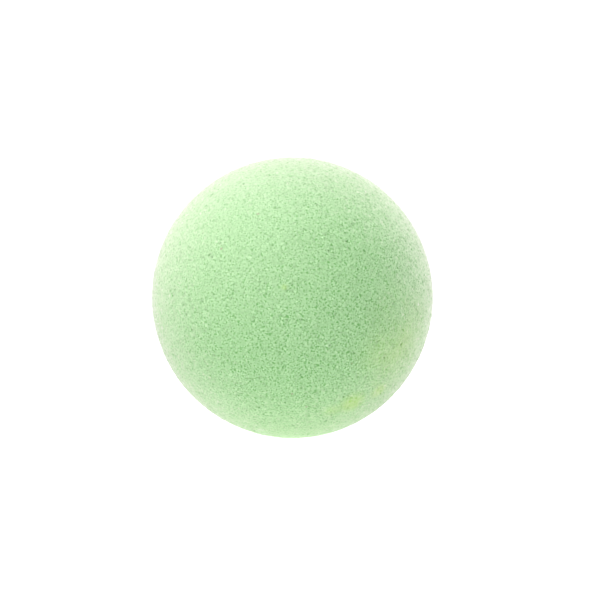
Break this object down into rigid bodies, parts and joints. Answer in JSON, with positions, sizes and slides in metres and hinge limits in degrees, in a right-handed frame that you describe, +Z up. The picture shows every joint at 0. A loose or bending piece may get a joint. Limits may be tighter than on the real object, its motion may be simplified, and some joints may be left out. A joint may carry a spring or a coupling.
{
  "type": "floral foam ball",
  "caption": "Solid pale green ball of fine open-cell foam for flower arrangements, with a small flat where it rests.",
  "frame": {"origin": "centre of the small flat that the ball rests on, which is the centre of the bounding box's bottom face", "axes": "+Z up through the centre of the ball, its axis of symmetry; +X right and +Y back in the reference view; the ball has no front, so X and Y are free about Z"},
  "size_m": [0.09, 0.09, 0.0898],
  "materials": {
    "foam": "matt open-cell foam, pale mint green, with fine dark pinholes"
  },
  "bodies": {
    "root": {"foam_ball": "foam"}
  },
  "joints": []
}
